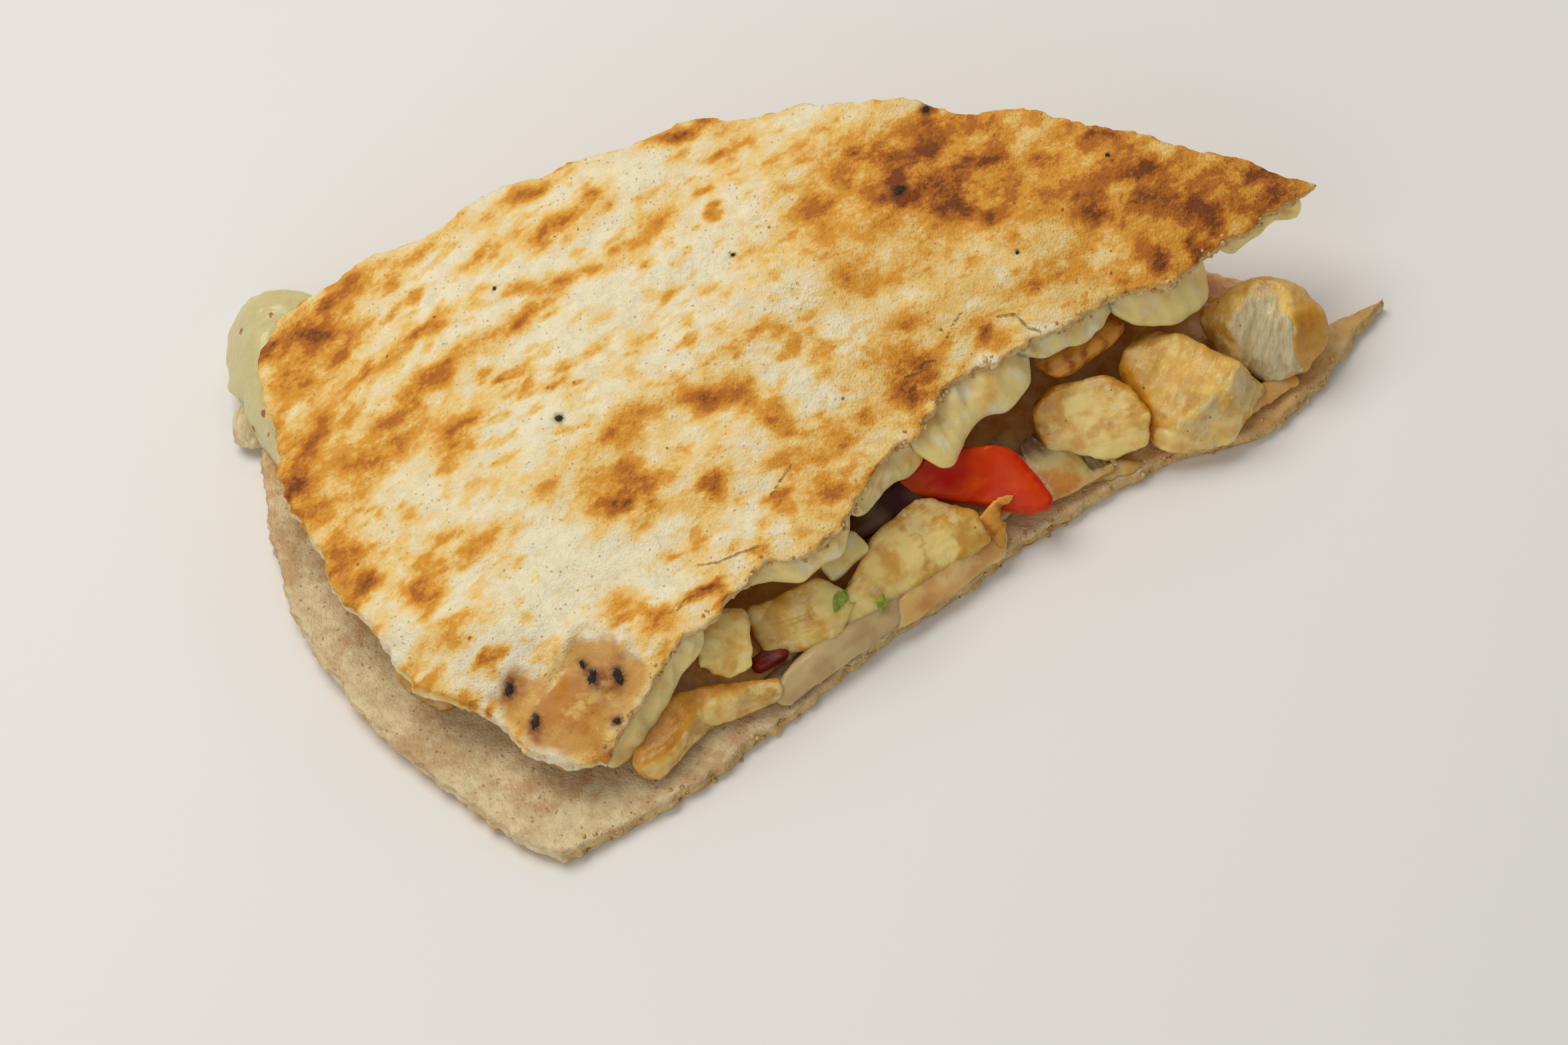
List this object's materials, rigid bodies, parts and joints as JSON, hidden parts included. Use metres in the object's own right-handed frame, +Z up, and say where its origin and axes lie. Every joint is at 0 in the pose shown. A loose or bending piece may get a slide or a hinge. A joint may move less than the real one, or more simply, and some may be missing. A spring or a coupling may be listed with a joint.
{
  "type": "quesadilla wedge",
  "caption": "Cut wedge of a toasted folded wheat tortilla with melted cheese, diced chicken, red pepper and onion, open at the front cut.",
  "frame": {"origin": "middle of the footprint, on the surface that the wedge lies on", "axes": "+X along the wedge to its tip, +Y to its back cut, +Z up"},
  "size_m": [0.117, 0.0738, 0.0243],
  "materials": {
    "tortilla": "dry toasted wheat, cream with golden to dark brown spots",
    "chicken": "moist cooked meat, pale at the cuts and golden on the fried sides",
    "cheese": "melted, glossy and slightly translucent",
    "red_pepper": "cooked, wet red",
    "onion": "soft and translucent, pale with lilac and brown tints"
  },
  "bodies": {
    "root": {"cheese_curd": "cheese", "cheese_melted": "cheese", "chicken_back_first": "chicken", "chicken_back_fourth": "chicken", "chicken_back_second": "chicken", "chicken_back_third": "chicken", "chicken_browned_side": "chicken", "chicken_flat_golden": "chicken", "chicken_hanging": "chicken", "chicken_long_strip": "chicken", "chicken_rim_bit": "chicken", "chicken_rim_strip": "chicken", "chicken_tip_cube": "chicken", "chicken_wedge_cut": "chicken", "onion_back_strip": "onion", "onion_browned_strip": "onion", "onion_glazed_shred": "onion", "onion_pale_strip": "onion", "onion_red_slice": "onion", "pepper_red_back": "red_pepper", "pepper_red_chip": "red_pepper", "pepper_red_strip": "red_pepper", "tortilla_lower": "tortilla", "tortilla_upper": "tortilla"}
  },
  "joints": []
}
